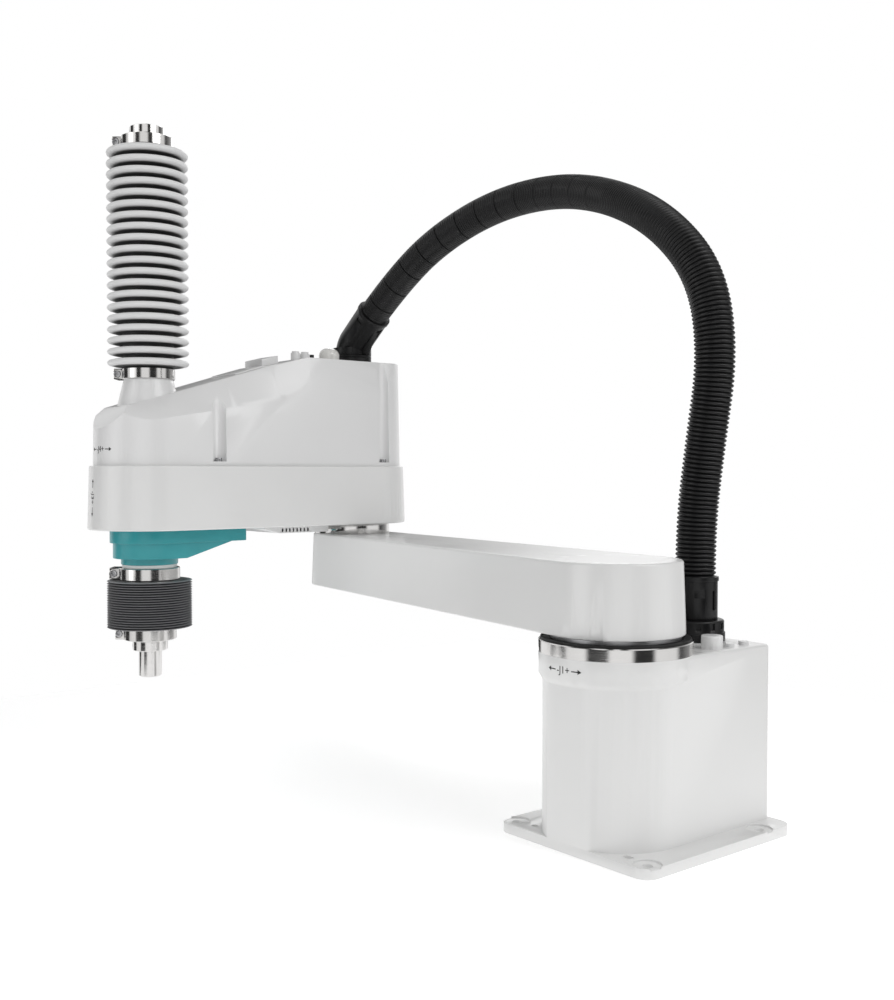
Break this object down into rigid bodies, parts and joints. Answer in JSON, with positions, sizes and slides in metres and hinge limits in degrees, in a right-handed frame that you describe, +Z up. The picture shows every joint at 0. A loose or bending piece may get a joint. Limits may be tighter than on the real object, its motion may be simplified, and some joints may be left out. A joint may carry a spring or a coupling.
{
  "type": "scara robot",
  "caption": "Four-axis SCARA robot arm: bolt-down base, inner arm, forearm with moulded cover, and a bellows-guarded tool shaft that slides and turns.",
  "frame": {"origin": "on the J1 axis at the underside of the base plate", "axes": "+Z up along the J1 axis, +X towards the base's front, away from its rear panel"},
  "size_m": [0.4134, 0.6743, 0.7068],
  "materials": {
    "white_paint": "semi-gloss white paint on a casting",
    "white_plastic": "satin white moulded plastic",
    "teal_plastic": "satin teal moulded plastic",
    "white_rubber": "matt white rubber",
    "black_rubber": "matt black rubber",
    "white_bellows": "satin pale rubber",
    "grey_bellows": "satin dark grey rubber",
    "black_plastic": "satin black plastic",
    "lamp_lens": "milky white plastic",
    "polished_steel": "ground and polished",
    "clamp_steel": "fine turned",
    "screw_steel": "plain",
    "drive_steel": "ground",
    "bracket_aluminium": "milled",
    "motor_body": "black paint"
  },
  "bodies": {
    "base": {"base_casting": "white_paint", "j1_bearing_ring": "polished_steel", "j1_dust_seal": "black_rubber", "j1_motor": "motor_body", "j1_reducer": "drive_steel", "rear_panel": "white_plastic", "rear_panel_screws": "screw_steel", "rear_connectors": "black_plastic", "conduit_nut": "black_plastic", "conduit_cuff": "black_plastic", "blanking_cap": "white_plastic", "base_plugs": "white_plastic", "conduit_hose": "black_plastic"},
    "inner_arm": {"inner_arm": "white_paint", "j1_output_flange": "drive_steel", "j1_flange_screws": "screw_steel", "arm_screw_plugs": "white_plastic", "j2_bearing_ring": "polished_steel", "j2_ring_screws": "screw_steel", "j2_output_flange": "drive_steel"},
    "forearm": {"forearm_frame": "white_paint", "forearm_cover": "white_plastic", "cover_screws": "screw_steel", "j2_reducer": "drive_steel", "j2_motor": "motor_body", "z_motor": "motor_body", "r_motor": "motor_body", "z_belt": "black_rubber", "r_belt": "black_rubber", "motor_brackets": "bracket_aluminium", "nut_pedestal": "bracket_aluminium", "ball_nut_housing": "drive_steel", "spline_nut_housing": "drive_steel", "lower_cover": "teal_plastic", "lower_cover_seal": "white_rubber", "underside_vent": "white_plastic", "bellows_base_clamp": "clamp_steel", "lower_bellows_top_clamp": "clamp_steel", "forearm_clamp_screws": "screw_steel", "upper_bellows": "white_bellows", "lower_bellows": "grey_bellows", "roof_hatch": "white_plastic", "user_connector": "black_plastic", "air_fittings": "white_plastic", "status_lamp": "lamp_lens", "conduit_foot": "black_plastic"},
    "elbow": {"conduit_elbow": "black_plastic"},
    "ball_nut": {"ball_nut": "drive_steel"},
    "spline_nut": {"spline_nut": "drive_steel"},
    "z_motor_pulley": {"z_motor_pulley": "bracket_aluminium"},
    "r_motor_pulley": {"r_motor_pulley": "bracket_aluminium"},
    "brake_release_button": {"brake_release_button": "black_plastic"},
    "carriage": {"upper_swivel_ring": "clamp_steel", "upper_bellows_clamp": "clamp_steel", "lower_swivel_ring": "clamp_steel", "lower_bellows_clamp": "clamp_steel", "carriage_clamp_screws": "screw_steel"},
    "shaft": {"screw_spline_shaft": "polished_steel", "top_collar": "polished_steel", "stop_collar": "polished_steel"}
  },
  "joints": [
    {"name": "j1_turn", "type": "hinge", "parent": "base", "child": "inner_arm", "pos_m": [0, 0, 0.185], "axis": [0, 0, 1], "range_deg": [-28.3, 225.7]},
    {"name": "j2_turn", "type": "hinge", "parent": "inner_arm", "child": "forearm", "pos_m": [-0.07941, -0.51896, 0.263], "axis": [0, 0, 1], "range_deg": [-243.7, 46.3]},
    {"name": "z_slide", "type": "slide", "parent": "forearm", "child": "carriage", "axis": [0, 0, 1], "range_m": [-0.18, 0], "deforming": ["upper_bellows", "lower_bellows"]},
    {"name": "j4_turn", "type": "hinge", "parent": "carriage", "child": "shaft", "pos_m": [0.19559, -0.51896, 0.6], "axis": [0, 0, 1], "range_deg": [-360, 360]},
    {"name": "elbow_swivel", "type": "hinge", "parent": "forearm", "child": "elbow", "pos_m": [-0.07941, -0.51896, 0.461], "axis": [0, 0, 1], "range_deg": [-60, 260]},
    {"name": "ball_nut_spin", "type": "hinge", "parent": "forearm", "child": "ball_nut", "pos_m": [0.19559, -0.51896, 0.33], "axis": [0, 0, 1], "range_deg": [-2612, 20]},
    {"name": "z_motor_spin", "type": "hinge", "parent": "forearm", "child": "z_motor_pulley", "pos_m": [0.09059, -0.49396, 0.33], "axis": [0, 0, 1], "range_deg": [-6530, 50]},
    {"name": "spline_nut_spin", "type": "hinge", "parent": "forearm", "child": "spline_nut", "pos_m": [0.19559, -0.51896, 0.295], "axis": [0, 0, 1], "range_deg": [-380, 380]},
    {"name": "r_motor_spin", "type": "hinge", "parent": "forearm", "child": "r_motor_pulley", "pos_m": [0.09059, -0.54396, 0.295], "axis": [0, 0, 1], "range_deg": [-950, 950]},
    {"name": "brake_press", "type": "slide", "parent": "forearm", "child": "brake_release_button", "axis": [0, 0, 1], "range_m": [-0.002, 0], "stiffness_N_per_m": 500, "springref_m": 0.001}
  ],
  "couplings": [
    {"joint": "elbow_swivel", "follows": "j2_turn", "ratio": -1},
    {"joint": "ball_nut_spin", "follows": "z_slide", "rad_per_m": 251.33},
    {"joint": "z_motor_spin", "follows": "z_slide", "rad_per_m": 628.32},
    {"joint": "spline_nut_spin", "follows": "j4_turn", "ratio": 1},
    {"joint": "r_motor_spin", "follows": "j4_turn", "ratio": 2.5}
  ]
}
